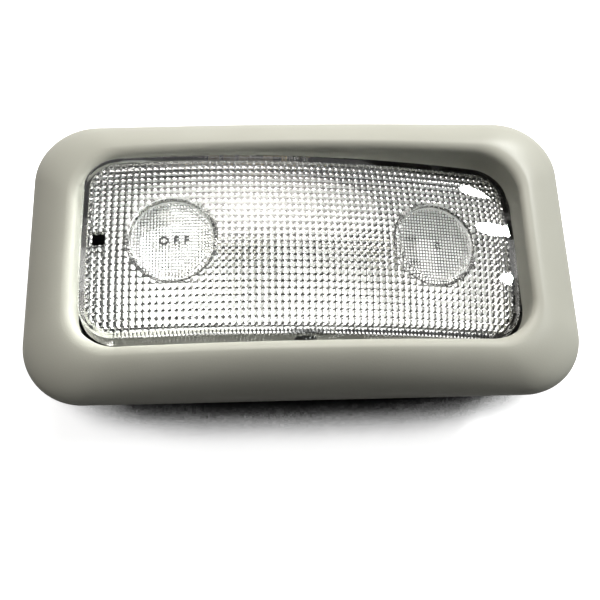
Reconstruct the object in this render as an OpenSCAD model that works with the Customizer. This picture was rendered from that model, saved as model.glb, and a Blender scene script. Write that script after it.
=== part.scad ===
// Car dome light with a rocking lens, in millimetres.
// X runs along its length, Y across it and Z from its back to its lens.
// The back of the housing stands on Z = 0, and the middle of the part is on the Z axis.

/* [Bezel] */
// Length of the bezel
bezel_l = 136; // [126:1:150]
// Width of the bezel
bezel_w = 74.2; // [70:0.2:86]
// Radius of the bezel's outer corners
bezel_r = 15.2; // [13:0.2:19]
// Width of the bezel's face, from its outer edge to the opening
band = 12.3; // [11.4:0.1:14]
// Height of the face's crest over the rim, at mid length
crest_h = 11.2; // [10.4:0.1:13]
// How much lower the crest is at the bezel's ends
end_drop = 5.8; // [3:0.2:6]
// Radius of the opening's corners
opening_r = 11.2; // [9:0.2:14]
// Wall of the bezel
bezel_wall = 1.8; // [1.4:0.1:2.2]
// Height of the straight edge under the rolled edge
edge_land = 0.8; // [0.5:0.1:1.4]
// Fullness of the rolled edge, from 1 for a chamfer to 2 for a round
roll_fullness = 1.5; // [1.4:0.1:2]
// Rounding of the crest where it turns into the opening
crest_round = 1.2; // [0.8:0.1:1.6]
// How far the collar round the opening reaches below the rim
collar_depth = 3; // [2.6:0.1:4]

/* [Housing] */
// Depth of the housing below the bezel's rim
housing_depth = 21; // [20:0.5:27]
// Side wall of the housing
housing_wall = 2; // [1.6:0.1:2.6]
// Back wall of the housing
back_wall = 1.5; // [1.2:0.1:2.5]
// Length of the raised land in the middle of the back
land_l = 104; // [90:1:108]
// Width of the raised land
land_w = 46; // [38:1:48]
// Height of the raised land
land_t = 0.5; // [0.3:0.1:0.8]
// Rounding between the back and the sides
back_round = 2.5; // [1.5:0.1:3.5]
// How far the side walls reach up inside the bezel
wall_overlap = 2.6; // [2:0.1:3]
// Clearance between mouldings that slot into each other
fit_gap = 0.2; // [0.1:0.05:0.3]
// Length of a snap nose along the collar
snap_l = 8; // [5:0.5:10]
// Distance of the snap noses from mid length
snap_x = 30; // [24:1:34]

/* [Lens] */
// Clearance between the lens and the ends of the opening
lens_end_gap = 1.9; // [1.4:0.1:2.4]
// Clearance between the lens and the sides of the opening
lens_side_gap = 1.3; // [0.8:0.1:1.6]
// How much tighter the lens's corners are than the opening's, beside the clearance
corner_ease = 1.5; // [0:0.1:2]
// Wall of the lens
lens_wall = 2; // [1.6:0.1:2.4]
// Height of the middle of the lens over the rim, when level
lens_top = 13.8; // [12.6:0.1:15]
// Height of the lens from its skirt's lower edge to the top of its crown
lens_h = 14.5; // [13.6:0.1:15]
// Radius of the lens crown along its length
crown_rx = 260; // [230:10:400]
// Radius of the lens crown across it
crown_ry = 70; // [66:1:110]
// Diameter of the finger dimples
dimple_d = 19.6; // [16:0.2:22]
// Distance of the finger dimples from mid length
dimple_x = 32.4; // [30:0.2:35]
// Depth of the finger dimples
dimple_depth = 2; // [1.4:0.1:2.4]
// Wall round the finger dimples
dimple_wall = 1.2; // [1:0.1:2]
// Length of the release slot in the left end of the lens
slot_l = 4; // [3:0.1:5]
// Width of the release slot
slot_w = 3.6; // [3:0.1:5]
// Angle that the lens rocks to each side
rock_angle = 5; // [3:0.5:6]
// Height of the lens pivot over the rim
pivot_h = 3; // [2.6:0.1:3.4]
// Diameter of the pivot pins
pivot_d = 4; // [3:0.1:4.4]
// Radial clearance of the pivot pins
pivot_gap = 0.05; // [0.03:0.01:0.08]

/* [Bulb] */
// Length of the festoon bulb over its tips
bulb_l = 42.6; // [39:0.2:44]
// Diameter of the glass
glass_d = 10.4; // [9:0.1:11]
// Diameter of the end caps
cap_d = 7.6; // [6.6:0.1:8.6]
// Height of the bulb's axis over the table
bulb_z = 13.2; // [13:0.1:14]

/* [Contacts] */
// Thickness of the brass strips
strip_t = 0.6; // [0.5:0.05:0.8]
// Thickness of the spring bronze
spring_t = 0.4; // [0.3:0.05:0.5]
// Width of the brass strips
strip_w = 2.4; // [2:0.1:2.8]
// Width of the bulb springs
bulb_spring_w = 7; // [6:0.5:8]
// Distance between the connector's blades
blade_pitch = 4; // [3.6:0.1:4.4]
// Distance of the connector from mid length
connector_x = 18; // [16:0.5:20]

/* [Clips] */
// Width of the steel mounting clips
clip_w = 10; // [8:0.5:14]
// Thickness of the steel mounting clips
clip_t = 0.6; // [0.5:0.05:0.8]
// How far the clips stand out from the housing
clip_reach = 3.8; // [3:0.1:4.4]

/* [Hidden] */

$fn = 64;
eps = 0.01;
over = 3;
rim_z = housing_depth;
collar_wall = 1.6;
opening_l = bezel_l - 2 * band;
opening_w = bezel_w - 2 * band;
collar_l = opening_l + 2 * collar_wall;
collar_w = opening_w + 2 * collar_wall;
collar_r = opening_r + collar_wall;
tub_in_l = collar_l + 2 * fit_gap;
tub_in_w = collar_w + 2 * fit_gap;
tub_in_r = collar_r + fit_gap;
tub_l = tub_in_l + 2 * housing_wall;
tub_w = tub_in_w + 2 * housing_wall;
tub_r = tub_in_r + housing_wall;
pivot_z = rim_z + pivot_h;
floor_z = land_t + back_wall;

// Plan of a rounded rectangle
module plan(l, w, r) {
    square([l - 2 * r, w], center = true);
    square([l, w - 2 * r], center = true);
    for (sx = [-1, 1], sy = [-1, 1])
        translate([sx * (l / 2 - r), sy * (w / 2 - r)]) circle(r);
}

// A box between two corners
module block(low, high) {
    translate(low) cube(high - low);
}

// Quarter disc that rounds a lower edge by f
module edge_quarter(f) {
    intersection() {
        circle(f);
        translate([0, -f]) square(f);
    }
}

// Rounded block whose lower edge is rounded by f
module rounded_tub(l, w, r, f, h) {
    translate([0, 0, f]) linear_extrude(h - f) plan(l, w, r);
    linear_extrude(f) plan(l - 2 * f, w - 2 * f, r - f);
    for (turn = [0, 180]) rotate([0, 0, turn]) {
        translate([0, w / 2 - f, f]) rotate([90, 0, 90])
            linear_extrude(l - 2 * r, center = true) edge_quarter(f);
        translate([l / 2 - f, 0, f]) rotate([90, 0, 0])
            linear_extrude(w - 2 * r, center = true) edge_quarter(f);
        for (q = [0, 1])
            mirror([0, q, 0]) translate([l / 2 - r, w / 2 - r, f])
                rotate_extrude(angle = 90) translate([r - f, 0]) edge_quarter(f);
    }
}

// Outline of a bent strip of even thickness t along the points p
function side_normal(a, b) = [a[1] - b[1], b[0] - a[0]] / norm(b - a);
function strip_side(p, h) = [for (i = [0:len(p) - 1])
    let (last = len(p) - 1,
        n0 = side_normal(p[max(i - 1, 0)], p[max(i, 1)]),
        n1 = side_normal(p[min(i, last - 1)], p[min(i + 1, last)]),
        m = n0 + n1)
    p[i] + m * h / (m * n0)];
function reversed(p) = [for (i = [len(p) - 1:-1:0]) p[i]];
function strip_outline(p, t) = concat(strip_side(p, t / 2), reversed(strip_side(p, -t / 2)));

// A bent strip whose outline lies in the XZ plane, w wide along Y
module bent_strip(p, t, w) {
    translate([0, w / 2, 0]) rotate([90, 0, 0]) linear_extrude(w) polygon(strip_outline(p, t));
}

// A bent strip whose outline lies in the YZ plane, w wide along X
module bent_strip_y(p, t, w) {
    translate([-w / 2, 0, 0]) rotate([90, 0, 90]) linear_extrude(w) polygon(strip_outline(p, t));
}

// The bezel is lofted from rings, each a rounded rectangle of the same number of points.
// A ring is [inset, corner radius, height over the rim, whether it follows the arch, depth under that].
corner_steps = 8;
side_steps = 8;
roll_steps = 8;
round_steps = 4;
roll_w = band - crest_round;

function arc_points(cx, cy, r, a0) =
    [for (i = [0:corner_steps]) let (a = a0 + 90 * i / corner_steps) [cx + r * cos(a), cy + r * sin(a)]];
function between(a, b, n) = [for (i = [1:n - 1]) a + (b - a) * i / n];
function ring_plan(inset, r) =
    let (x = bezel_l / 2 - inset - r, y = bezel_w / 2 - inset - r,
        c1 = arc_points(x, y, r, 0), c2 = arc_points(-x, y, r, 90),
        c3 = arc_points(-x, -y, r, 180), c4 = arc_points(x, -y, r, 270))
    concat(c1, between(c1[corner_steps], c2[0], side_steps), c2, c3,
        between(c3[corner_steps], c4[0], side_steps), c4);
function arch(x) = 1 - end_drop / crest_h * pow(x / (bezel_l / 2), 2);
function ring(s) = [for (p = ring_plan(s[0], s[1]))
    [p[0], p[1], rim_z + s[2] * (s[3] ? arch(p[0]) : 1) - s[4]]];
function face_r(inset) = bezel_r + (opening_r - bezel_r) * inset / band;

// Points of the rolled edge, and how its wall turns inwards there
function roll(a) = [roll_w * (1 - pow(cos(a), 2 / roll_fullness)),
    edge_land + (crest_h - edge_land) * pow(sin(a), 2 / roll_fullness)];
function roll_normal(a) = let (d = roll(a + 1) - roll(a - 1)) [d[1], -d[0]] / norm(d);
function roll_angle(i) = 90 * i / roll_steps;
function face_ring(p) = [p[0], face_r(p[0]), p[1], true, 0];
function inner_ring(a) =
    let (p = roll(a), n = bezel_wall * roll_normal(a))
    [p[0] + n[0], face_r(p[0] + n[0]), p[1], true, -n[1]];
crest_arc = [for (i = [1:round_steps]) let (a = 90 * i / round_steps)
    [roll_w + crest_round * sin(a), crest_h - crest_round * (1 - cos(a))]];
bezel_rings = concat(
    [[0, bezel_r, 0, false, 0]],
    [for (i = [0:roll_steps]) face_ring(roll(roll_angle(i)))],
    [for (p = crest_arc) face_ring(p)],
    [[band, opening_r, -collar_depth, false, 0], [band - collar_wall, collar_r, -collar_depth, false, 0],
        [band - collar_wall, collar_r, crest_h, true, bezel_wall + crest_round / 2]],
    [for (i = [roll_steps - 1:-1:3]) inner_ring(roll_angle(i))],
    [[bezel_wall, face_r(bezel_wall), 0, false, 0]]);

module loft(sections) {
    rings = [for (s = sections) ring(s)];
    n = len(rings[0]);
    k = len(rings);
    polyhedron([for (r = rings, p = r) p],
        [for (j = [0:k - 1], i = [0:n - 1])
            let (a = j * n, b = ((j + 1) % k) * n, e = (i + 1) % n) [a + i, b + i, b + e, a + e]],
        convexity = 6);
}

snap_top = rim_z + 0.2;
snap_h = 2.2;
snap_out = 1.4;
snap_land = 0.6;
snap_toe = 0.3;
snap_room = 2 * fit_gap;
notch_room = 0.7;

// Wedge that latches in a window of the housing
module snap_nose() {
    translate([-snap_l / 2, 0, snap_top]) rotate([90, 0, 90]) linear_extrude(snap_l)
        polygon([[-eps, 0], [snap_out, 0], [snap_out, -snap_land], [snap_toe, -snap_h], [-eps, -snap_h]]);
}

// Cut in the collar that lets a pivot pin drop in from below
module pin_notch() {
    half_x = pivot_d / 2 + notch_room;
    half_y = collar_wall / 2 + notch_room;
    translate([0, 0, pivot_z]) rotate([90, 0, 0]) cylinder(h = 2 * half_y, r = half_x, center = true);
    block([-half_x, -half_y, rim_z - collar_depth - over], [half_x, half_y, pivot_z]);
}

// Ribs under the face run from the skin to the collar, over the top of the housing's wall.
// Their profile is [inset from the outer edge, height that follows the arch, height that doesn't].
stay_t = 1;
stay_lift = 1;
stay_foot = wall_overlap + snap_room;
stay_step = band - collar_wall - fit_gap - housing_wall - snap_room;
stay_first_x = 14;
stay_pitch = 12;
stay_end_y = 9;
skin_line = [for (i = [3:roll_steps - 1])
    let (p = roll(roll_angle(i)), n = bezel_wall / 2 * roll_normal(roll_angle(i)))
    [p[0] + n[0], p[1], n[1]]];
stay_line = concat([[bezel_wall, 0, stay_lift]], skin_line,
    [[band - collar_wall / 2, crest_h, -bezel_wall], [band - collar_wall / 2, 0, stay_foot],
        [stay_step, 0, stay_foot], [stay_step, 0, stay_lift]]);

module side_stay(x) {
    translate([x, 0, 0]) rotate([90, 0, 90]) linear_extrude(stay_t, center = true)
        polygon([for (p = stay_line) [bezel_w / 2 - p[0], rim_z + p[1] * arch(x) + p[2]]]);
}

module end_stay(y) {
    translate([0, y, 0]) rotate([90, 0, 0]) linear_extrude(stay_t, center = true)
        polygon([for (p = stay_line) let (x = bezel_l / 2 - p[0]) [x, rim_z + p[1] * arch(x) + p[2]]]);
}

module bezel_stays() {
    for (turn = [0, 180]) rotate([0, 0, turn]) {
        for (sx = [-1, 1], i = [0:2])
            side_stay(sx * (stay_first_x + i * stay_pitch));
        for (y = [-stay_end_y, stay_end_y])
            end_stay(y);
    }
}

module bezel() color("#a9a89c") {
    bezel_stays();
    difference() {
        loft(bezel_rings);
        for (s = [-1, 1])
            translate([0, s * (opening_w + collar_wall) / 2, 0]) pin_notch();
    }
    for (sx = [-1, 1], sy = [-1, 1])
        translate([sx * snap_x, 0, 0]) rotate([0, 0, sy > 0 ? 0 : 180])
            translate([0, collar_w / 2, 0]) snap_nose();
}

crown_steps = 200;
notch_side = 0.5;
lens_l = opening_l - 2 * lens_end_gap;
lens_w = opening_w - 2 * lens_side_gap;
lens_r = opening_r - lens_side_gap - corner_ease;
lens_low = rim_z + lens_top - lens_h;
crown_slope = asin(dimple_x / crown_rx);
dimple_z = rim_z + lens_top - crown_rx + sqrt(pow(crown_rx, 2) - pow(dimple_x, 2));
tab_t = 2.2;
cam_r = 9;
cam_half = 4;
tab_half = 1.5;
pin_end_gap = 0.3;

// Lens crown: a barrel surface that lies d under the outer face
module barrel(d) {
    translate([0, 0, rim_z + lens_top - crown_rx]) rotate([90, 0, 0])
        rotate_extrude($fn = crown_steps) translate([crown_rx - crown_ry, 0])
            circle(crown_ry - d, $fn = crown_steps);
}

module crown(d) {
    intersection() {
        translate([0, 0, lens_low - (d > 0 ? over : 0)])
            linear_extrude(lens_h + 2 * over) plan(lens_l - 2 * d, lens_w - 2 * d, lens_r - d);
        barrel(d);
    }
}

module at_dimple(s) {
    translate([s * dimple_x, 0, dimple_z]) rotate([0, s * crown_slope, 0]) children();
}

// Cam tab with three notches for the detent spring
module cam_tab() {
    translate([0, -lens_w / 2 + tab_t, pivot_z]) rotate([90, 0, 0]) linear_extrude(tab_t) difference() {
        intersection() {
            circle(cam_r);
            translate([-cam_half, -cam_r]) square([2 * cam_half, cam_r]);
        }
        for (a = [-rock_angle, 0, rock_angle])
            rotate(a) translate([0, -cam_r]) rotate(45) square(notch_side, center = true);
    }
}

// Finger that works the switch
module switch_tab() {
    block([-tab_half, lens_w / 2 - tab_t, pivot_z - cam_r], [tab_half, lens_w / 2, pivot_z]);
}

module lens_level() {
    difference() {
        union() {
            difference() {
                crown(0);
                crown(lens_wall);
            }
            intersection() {
                crown(0);
                for (s = [-1, 1])
                    at_dimple(s) translate([0, 0, -dimple_depth - lens_wall])
                        cylinder(h = dimple_depth + lens_wall + over, d = dimple_d + 2 * dimple_wall);
            }
        }
        for (s = [-1, 1])
            at_dimple(s) translate([0, 0, -dimple_depth]) cylinder(h = dimple_depth + over, d = dimple_d);
        block([-lens_l / 2 + lens_wall, -slot_w / 2, lens_low - over],
            [-lens_l / 2 + lens_wall + slot_l, slot_w / 2, rim_z + lens_top]);
    }
    cam_tab();
    switch_tab();
    for (s = [-1, 1])
        translate([0, s * (lens_w / 2 - lens_wall / 2), pivot_z]) rotate([-s * 90, 0, 0])
            cylinder(h = (tub_w - lens_w + lens_wall) / 2 - pin_end_gap, d = pivot_d);
}

// The lens lies with its right side pressed in
module lens_rocker() color("#e6eaec", 0.6) {
    translate([0, 0, pivot_z]) rotate([0, rock_angle, 0]) translate([0, 0, -pivot_z]) lens_level();
}

flange_z = 13;
sheet_t = 0.5;
rib_t = 2;
rib_lap = 1.6;
guide_w = 1.6;
guide_t = 0.7;
rib_x = 36;
end_rib_y = 12;
flange_end_gap = 7.5;
flange_side_gap = 6.6;
flange_l = tub_in_l - 2 * flange_end_gap;
flange_w = tub_in_w - 2 * flange_side_gap;
flange_r = 6;
clip_z = 14.1;
ear_half = 5.5;
ear_wall = 1.2;
ear_top = pivot_z + pivot_d / 2 + ear_wall;
carrier_t = 1.8;
carrier_z = floor_z + carrier_t;
blade_margin = 2.8;
shroud_in_l = 2 * (blade_pitch + blade_margin);
shroud_in_h = 6.4;
shroud_wall = 1.2;
shroud_l = shroud_in_l + 2 * shroud_wall;
shroud_h = shroud_in_h + 2 * shroud_wall;
shroud_inset = 2.4;
shroud_back_y = tub_in_w / 2 - shroud_inset;
shroud_lip_gap = 0.8;
shroud_out_y = bezel_w / 2 - shroud_lip_gap;
boss_x = -14;
boss_l = 6;
boss_z = 14;
detent_t = 0.3;
detent_w = 3;
detent_y = -(lens_w - tab_t) / 2;
boss_edge = 0.4;
boss_in_y = detent_y + detent_w / 2 + boss_edge;
stake_h = 1;
rib_drop = 2.4;
guide_spots = [-1, -0.18, 0.18, 1];
stake_d = 1.6;

// Ribs that carry the reflector
module reflector_ribs() {
    low_x = flange_l / 2 - rib_lap;
    low_y = flange_w / 2 - rib_lap;
    for (mx = [0, 1], my = [0, 1]) mirror([mx, 0, 0]) mirror([0, my, 0]) {
        block([rib_x - rib_t / 2, low_y, land_t + back_wall / 2],
            [rib_x + rib_t / 2, (tub_in_w + housing_wall) / 2, flange_z - sheet_t]);
        block([low_x, end_rib_y - rib_t / 2, land_t + back_wall / 2],
            [(tub_in_l + housing_wall) / 2, end_rib_y + rib_t / 2, flange_z - sheet_t]);
    }
}

// Ribs that centre the housing in the roof's cut-out
module guide_ribs() {
    low_z = land_t + back_round;
    high_z = rim_z - rib_drop;
    clip_side = clip_w / 2 + guide_w;
    for (my = [0, 1], x = guide_spots * rib_x)
        mirror([0, my, 0]) block([x - guide_w / 2, tub_w / 2 - eps, low_z],
            [x + guide_w / 2, tub_w / 2 + guide_t, high_z]);
    for (mx = [0, 1], y = [-clip_side, clip_side])
        mirror([mx, 0, 0]) block([tub_l / 2 - eps, y - guide_w / 2, low_z],
            [tub_l / 2 + 2 * guide_t, y + guide_w / 2, high_z]);
}

module rear_housing() color("#38393b") {
    difference() {
        union() {
            difference() {
                union() {
                    translate([0, 0, land_t])
                        rounded_tub(tub_l, tub_w, tub_r, back_round, rim_z + wall_overlap - land_t);
                    linear_extrude(floor_z) square([land_l, land_w], center = true);
                }
                translate([0, 0, floor_z])
                    linear_extrude(rim_z + wall_overlap) plan(tub_in_l, tub_in_w, tub_in_r);
            }
            for (s = [-1, 1])
                translate([0, s * (tub_in_w + housing_wall) / 2, (rim_z + ear_top) / 2])
                    cube([2 * ear_half, housing_wall, ear_top - rim_z], center = true);
            reflector_ribs();
            guide_ribs();
            block([boss_x - boss_l / 2, -(tub_in_w + housing_wall) / 2, floor_z - eps],
                [boss_x + boss_l / 2, boss_in_y, boss_z]);
        }
        for (s = [-1, 1]) {
            translate([0, s * (tub_in_w + housing_wall) / 2, pivot_z]) rotate([90, 0, 0])
                cylinder(h = housing_wall + over, r = pivot_d / 2 + pivot_gap, center = true);
            translate([s * (tub_in_l + housing_wall) / 2, 0, clip_z])
                cube([housing_wall + over, clip_w + 2 * fit_gap, clip_t + 2 * fit_gap], center = true);
            for (sx = [-1, 1])
                translate([sx * snap_x, s * (tub_in_w + housing_wall) / 2, snap_top - snap_h / 2])
                    cube([snap_l + 2 * snap_room, housing_wall + over, snap_h + 2 * snap_room], center = true);
        }
        block([-connector_x - shroud_l / 2 - fit_gap, tub_in_w / 2 - over, floor_z],
            [-connector_x + shroud_l / 2 + fit_gap, tub_w / 2 + over, floor_z + shroud_h + fit_gap]);
    }
    translate([boss_x, detent_y, boss_z - eps]) cylinder(h = stake_h, d = stake_d);
}

trough_half_x = 38;
trough_half_y = 10.6;
trough_flare_x = 9;
trough_flare_y = 7;
trough_z = 5.7;

// Profile of the trough, flaring out from its floor and d smaller on every side
module trough_profile(half, flare, d, up) {
    h = flange_z - trough_z;
    top = half - d + flare * (1 + up);
    translate([0, trough_z]) polygon([[d - half, d], [half - d, d], [top, h * (1 + up)], [-top, h * (1 + up)]]);
}

module trough(d, up) {
    rotate([90, 0, 0]) intersection() {
        linear_extrude(flange_l, center = true) trough_profile(trough_half_x, trough_flare_x, d, up);
        rotate([0, 90, 0]) linear_extrude(2 * flange_l, center = true)
            trough_profile(trough_half_y, trough_flare_y, d, up);
    }
}

spring_foot_in = bulb_l / 2 + 2.2;
spring_foot_l = 6;
spring_foot_out = spring_foot_in + spring_foot_l;
slot_back = 0.6;
spring_slot_l = 4.4;

module reflector() color("#d4d6d8") {
    difference() {
        union() {
            trough(0, 0);
            translate([0, 0, flange_z - sheet_t]) linear_extrude(sheet_t) plan(flange_l, flange_w, flange_r);
        }
        trough(sheet_t, 0.5);
        for (s = [-1, 1])
            translate([s * (spring_foot_in - slot_back), 0, trough_z])
                cube([spring_slot_l, bulb_spring_w + rib_t, 2 * over], center = true);
    }
}

cap_l = 6.4;
tip_l = 2.4;
tip_r = 1.3;
glass_wall = 0.7;
cap_skirt = 0.5;
cap_lap = 2;
neck_l = 2.6;
shoulder_l = 1.6;
glass_l = bulb_l - 2 * tip_l - 2 * cap_l + 2 * cap_lap;
cap_in = bulb_l / 2 - tip_l - cap_l;

// Turns a shape made along Z so that it lies along X on the bulb's axis
module on_bulb_axis() {
    translate([0, 0, bulb_z]) rotate([0, 90, 0]) children();
}

module glass_form(d) {
    neck_r = cap_d / 2 - cap_skirt - d;
    body_r = glass_d / 2 - d;
    half = glass_l / 2 - d;
    shoulder = glass_l / 2 - neck_l - shoulder_l;
    neck = glass_l / 2 - neck_l;
    rotate_extrude() polygon([[0, -half], [neck_r, -half], [neck_r, -neck], [body_r, -shoulder],
        [body_r, shoulder], [neck_r, neck], [neck_r, half], [0, half]]);
}

module bulb_glass() color("#dfe7ea", 0.5) {
    on_bulb_axis() difference() {
        glass_form(0);
        glass_form(glass_wall);
    }
}

module bulb_cap(s) {
    seat_r = cap_d / 2 - cap_skirt;
    seat = glass_l / 2 - cap_in;
    color("#b9b7ae") on_bulb_axis() rotate([s > 0 ? 0 : 180, 0, 0]) translate([0, 0, cap_in])
        rotate_extrude() polygon([[seat_r, 0], [cap_d / 2, 0], [cap_d / 2, cap_l], [tip_r, cap_l + tip_l],
            [0, cap_l + tip_l], [0, seat], [seat_r, seat]]);
}

module bulb_cap_left() {
    bulb_cap(-1);
}

module bulb_cap_right() {
    bulb_cap(1);
}

coil_r = 0.45;
coil_l = 7;
lead_r = 0.16;
lead_gap = 0.1;

module bulb_filament() color("#6b6a66") {
    on_bulb_axis() {
        cylinder(h = glass_l - 2 * (glass_wall + lead_gap), r = lead_r, center = true);
        cylinder(h = coil_l, r = coil_r, center = true);
    }
}

foot_z = carrier_z + strip_t + spring_t / 2;
contact_x = bulb_l / 2 - tip_l / 4;
bend_x = 0.9;
bend_z = 1.4;
contact_low = 2;
contact_high = 2.4;
lead_in_x = 1.8;
lead_in_z = 2.2;
tip_hole_d = 4.4;

module bulb_spring(s) {
    color("#b4b1a7") mirror([s > 0 ? 0 : 1, 0, 0]) difference() {
        bent_strip([[spring_foot_out, foot_z], [spring_foot_in, foot_z],
            [spring_foot_in - bend_x, foot_z + bend_z], [contact_x, bulb_z - contact_low],
            [contact_x, bulb_z + contact_high], [contact_x + lead_in_x, bulb_z + contact_high + lead_in_z]],
            spring_t, bulb_spring_w);
        translate([contact_x, 0, bulb_z]) rotate([0, 90, 0])
            cylinder(h = over, d = tip_hole_d, center = true);
        translate([rivet_x, 0, foot_z]) cylinder(h = over, d = rivet_d + fit_gap, center = true);
    }
}

module bulb_spring_left() {
    bulb_spring(-1);
}

module bulb_spring_right() {
    bulb_spring(1);
}

rivet_d = 2;
rivet_rim = 0.7;
rivet_t = 0.25;
rivet_sink = 0.3;
rivet_wall = 0.4;
rivet_inset = 2.6;
rivet_x = spring_foot_out - rivet_inset;
blade_z = floor_z + shroud_h / 2;
blade_w = 2.8;
blade_recess = 5.2;
blade_end_y = shroud_out_y - blade_recess;
rise_back = 5.6;
rise_l = 2;
rise_y = shroud_back_y - rise_back;
lane_top = carrier_z + strip_t;
ground_x = -connector_x + blade_pitch;
door_x = -connector_x;
feed_x = -connector_x - blade_pitch;
lane_gap = 1.2;
lane_pitch = strip_w + lane_gap;
ground_lane_y = rise_y - strip_w / 2 - fit_gap;
door_lane_y = ground_lane_y - lane_pitch;
feed_lane_y = door_lane_y - lane_pitch;
leaf_y = lens_w / 2 - tab_t / 2;
leaf_w = 3;
leaf_lap = 1.6;
leaf_top = pivot_z - cam_r + leaf_lap;
finger_gap = 1.1;
blade_leaf_x = -tab_half - finger_gap;
leaf_pitch = 0.9;
door_leaf_x = blade_leaf_x - leaf_pitch;
ground_leaf_x = door_leaf_x - leaf_pitch;
leaf_t = 0.3;
link_x = 1.6;
leaf_gap = 1;
pad_half = 2;
door_web_h = 3;
ground_link_x = ground_leaf_x - strip_w - leaf_gap;
rivet_spots = [[-rivet_x, 0, spring_t], [rivet_x, 0, spring_t], [link_x, leaf_y, leaf_t],
    [ground_link_x, ground_lane_y, 0], [(door_leaf_x + door_x) / 2, door_lane_y, 0]];

// Flat run of a brass strip on the carrier between two corners of its centre line
module lane(a, b) {
    half = strip_w / 2;
    translate([min(a[0], b[0]) - half, min(a[1], b[1]) - half, carrier_z])
        cube([abs(a[0] - b[0]) + strip_w, abs(a[1] - b[1]) + strip_w, strip_t]);
}

// Run that rises from the carrier and ends as a connector blade
module blade(x, from_y) {
    run_z = carrier_z + strip_t / 2;
    translate([x, 0, 0])
        bent_strip_y([[from_y, run_z], [rise_y, run_z], [rise_y + rise_l, blade_z], [blade_end_y, blade_z]],
            strip_t, blade_w);
}

module rivet_holes() {
    for (p = rivet_spots)
        translate([p[0], p[1], floor_z - over / 2]) cylinder(h = carrier_t + 2 * over, d = rivet_d + fit_gap);
}

module feed_terminal() color("#c9a55c") {
    difference() {
        union() {
            lane([-rivet_x, 0], [-rivet_x, feed_lane_y]);
            lane([-rivet_x, feed_lane_y], [feed_x, feed_lane_y]);
            blade(feed_x, feed_lane_y);
            block([-rivet_x - pad_half, -pad_half, carrier_z], [-rivet_x + pad_half, pad_half, lane_top]);
        }
        rivet_holes();
    }
}

module ground_terminal() color("#c9a55c") {
    difference() {
        union() {
            lane([ground_link_x, ground_lane_y], [ground_x, ground_lane_y]);
            lane([ground_link_x, ground_lane_y], [ground_link_x, leaf_y]);
            lane([ground_link_x, leaf_y], [ground_leaf_x - strip_w / 2 + leaf_t / 2, leaf_y]);
            block([ground_leaf_x - leaf_t / 2, leaf_y - leaf_w / 2, carrier_z],
                [ground_leaf_x + leaf_t / 2, leaf_y + leaf_w / 2, leaf_top]);
            blade(ground_x, ground_lane_y);
        }
        rivet_holes();
    }
}

module door_terminal() color("#c9a55c") {
    difference() {
        union() {
            lane([door_leaf_x - strip_w / 2 + leaf_t / 2, door_lane_y], [door_x, door_lane_y]);
            block([door_leaf_x - leaf_t / 2, door_lane_y - strip_w / 2, carrier_z],
                [door_leaf_x + leaf_t / 2, leaf_y + leaf_w / 2, carrier_z + door_web_h]);
            block([door_leaf_x - leaf_t / 2, leaf_y - leaf_w / 2, carrier_z],
                [door_leaf_x + leaf_t / 2, leaf_y + leaf_w / 2, leaf_top]);
            blade(door_x, door_lane_y);
        }
        rivet_holes();
    }
}

module link_strip() color("#c9a55c") {
    difference() {
        union() {
            lane([link_x, leaf_y], [link_x, feed_lane_y]);
            lane([link_x, feed_lane_y], [rivet_x, feed_lane_y]);
            lane([rivet_x, 0], [rivet_x, feed_lane_y]);
            block([rivet_x - pad_half, -pad_half, carrier_z], [rivet_x + pad_half, pad_half, lane_top]);
        }
        rivet_holes();
    }
}

module switch_blade() color("#b4b1a7") {
    difference() {
        union() {
            block([blade_leaf_x - leaf_t / 2, leaf_y - leaf_w / 2, lane_top],
                [link_x + strip_w / 2, leaf_y + leaf_w / 2, lane_top + leaf_t]);
            block([blade_leaf_x - leaf_t / 2, leaf_y - leaf_w / 2, lane_top],
                [blade_leaf_x + leaf_t / 2, leaf_y + leaf_w / 2, leaf_top]);
        }
        rivet_holes();
    }
}

// Hollow rivets through the springs, the strips and the carrier
module contact_rivets() color("#d8c9a0") {
    rim_r = rivet_d / 2 + rivet_rim;
    low_z = floor_z + rivet_sink;
    for (p = rivet_spots)
        translate([p[0], p[1], 0]) {
            head_z = lane_top + p[2];
            difference() {
                union() {
                    translate([0, 0, low_z]) cylinder(h = head_z + rivet_t - low_z, d = rivet_d);
                    translate([0, 0, head_z]) cylinder(h = rivet_t, r = rim_r);
                    translate([0, 0, low_z]) cylinder(h = rivet_t, r = rim_r);
                }
                translate([0, 0, floor_z]) cylinder(h = carrier_t + over, d = rivet_d - 2 * rivet_wall);
            }
        }
}

carrier_edge = 4;
carrier_half_x = rivet_x + carrier_edge;
carrier_low_y = 6;
counterbore_t = 0.8;
blade_slot_l = 8;

module contact_carrier() color("#2c2d2f") {
    difference() {
        union() {
            block([-carrier_half_x, -carrier_low_y, floor_z], [carrier_half_x, feed_lane_y + strip_w, carrier_z]);
            block([-connector_x - shroud_l / 2, 0, floor_z],
                [link_x + carrier_edge, tub_in_w / 2 - fit_gap, carrier_z]);
            block([-connector_x - shroud_l / 2, shroud_back_y - shroud_wall, floor_z],
                [-connector_x + shroud_l / 2, shroud_out_y, floor_z + shroud_h]);
        }
        block([-connector_x - shroud_in_l / 2, shroud_back_y, floor_z + shroud_wall],
            [-connector_x + shroud_in_l / 2, shroud_out_y + over, floor_z + shroud_wall + shroud_in_h]);
        for (x = [ground_x, door_x, feed_x])
            translate([x, shroud_back_y, blade_z])
                cube([blade_w + fit_gap, blade_slot_l, strip_t + fit_gap], center = true);
        rivet_holes();
        for (p = rivet_spots)
            translate([p[0], p[1], floor_z - over]) cylinder(h = over + counterbore_t, d = 2 * rivet_d);
    }
}

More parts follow.
